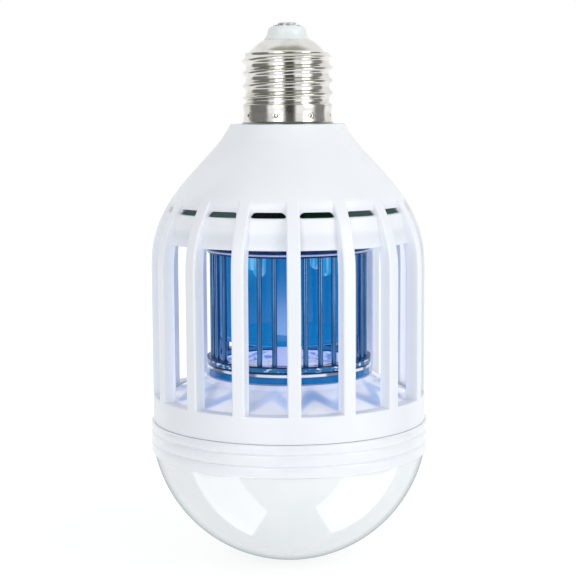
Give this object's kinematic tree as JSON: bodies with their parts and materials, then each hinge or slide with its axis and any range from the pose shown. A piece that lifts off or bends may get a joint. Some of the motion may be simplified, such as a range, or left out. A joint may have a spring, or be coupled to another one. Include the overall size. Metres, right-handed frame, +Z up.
{
  "type": "insect killer light bulb",
  "caption": "Screw-cap lamp bulb with a diffuser dome below and, above it, a white ribbed cage round an electrified rod grid and a blue lure lamp.",
  "frame": {"origin": "centre of the flat end of the cap's centre contact", "axes": "+Z up along the lamp's axis, out of the screw cap; the lamp hangs below the origin; -Y is the front of the picture, square on a cage rib; +X is to the right seen from the front"},
  "size_m": [0.0816, 0.0816, 0.1576],
  "materials": {
    "nickel": "bright nickel plate, rolled",
    "white_insulator": "smooth white, slightly glossy",
    "white_plastic": "satin to gloss white moulding",
    "board_green": "solder-masked board",
    "capacitor_sleeve": "shrink sleeve",
    "capacitor_film": "dipped film capacitor",
    "ferrite": "matte ferrite with tape",
    "moulded_chip": "matte moulded epoxy",
    "lead_insulation": "insulated lead",
    "clear_blue_ring": "clear blue-tinted plastic, polished",
    "blue_tube": "clear deep blue plastic tube",
    "steel_rod": "drawn stainless rod",
    "uv_lens": "clear epoxy lens, faintly cyan",
    "board_white": "white solder mask",
    "column_plastic": "satin white with a lavender cast from the lamp",
    "aluminium": "pressed sheet, satin",
    "dome_diffuser": "polished milky diffuser"
  },
  "bodies": {
    "root": {"boost_transformer": "ferrite", "bridge_rectifier": "moulded_chip", "bulk_capacitor": "capacitor_sleeve", "cage_housing": "white_plastic", "cap_insulator": "white_insulator", "ceiling_plate": "white_plastic", "centre_contact": "nickel", "chamber_floor": "white_plastic", "dome_diffuser": "dome_diffuser", "driver_board": "board_green", "film_capacitor": "capacitor_film", "grid_bottom_ring": "clear_blue_ring", "grid_rod_01": "steel_rod", "grid_rod_02": "steel_rod", "grid_rod_03": "steel_rod", "grid_rod_04": "steel_rod", "grid_rod_05": "steel_rod", "grid_rod_06": "steel_rod", "grid_rod_07": "steel_rod", "grid_rod_08": "steel_rod", "grid_rod_09": "steel_rod", "grid_rod_10": "steel_rod", "grid_rod_11": "steel_rod", "grid_rod_12": "steel_rod", "grid_rod_13": "steel_rod", "grid_rod_14": "steel_rod", "grid_rod_15": "steel_rod", "grid_rod_16": "steel_rod", "grid_rod_17": "steel_rod", "grid_rod_18": "steel_rod", "grid_rod_19": "steel_rod", "grid_rod_20": "steel_rod", "grid_rod_21": "steel_rod", "grid_rod_22": "steel_rod", "grid_rod_23": "steel_rod", "grid_rod_24": "steel_rod", "grid_rod_25": "steel_rod", "grid_rod_26": "steel_rod", "grid_rod_27": "steel_rod", "grid_rod_28": "steel_rod", "grid_rod_29": "steel_rod", "grid_rod_30": "steel_rod", "grid_rod_31": "steel_rod", "grid_rod_32": "steel_rod", "grid_top_ring": "clear_blue_ring", "heat_plate": "aluminium", "input_choke": "ferrite", "lamp_lead": "lead_insulation", "led_board": "board_white", "live_lead": "lead_insulation", "neutral_lead": "lead_insulation", "retaining_collar": "white_plastic", "screw_shell": "nickel", "uv_lamp_tube": "blue_tube", "uv_led_1": "uv_lens", "uv_led_2": "uv_lens", "uv_led_3": "uv_lens", "uv_led_4": "uv_lens", "uv_led_board": "board_white", "wire_column": "column_plastic"}
  },
  "joints": []
}
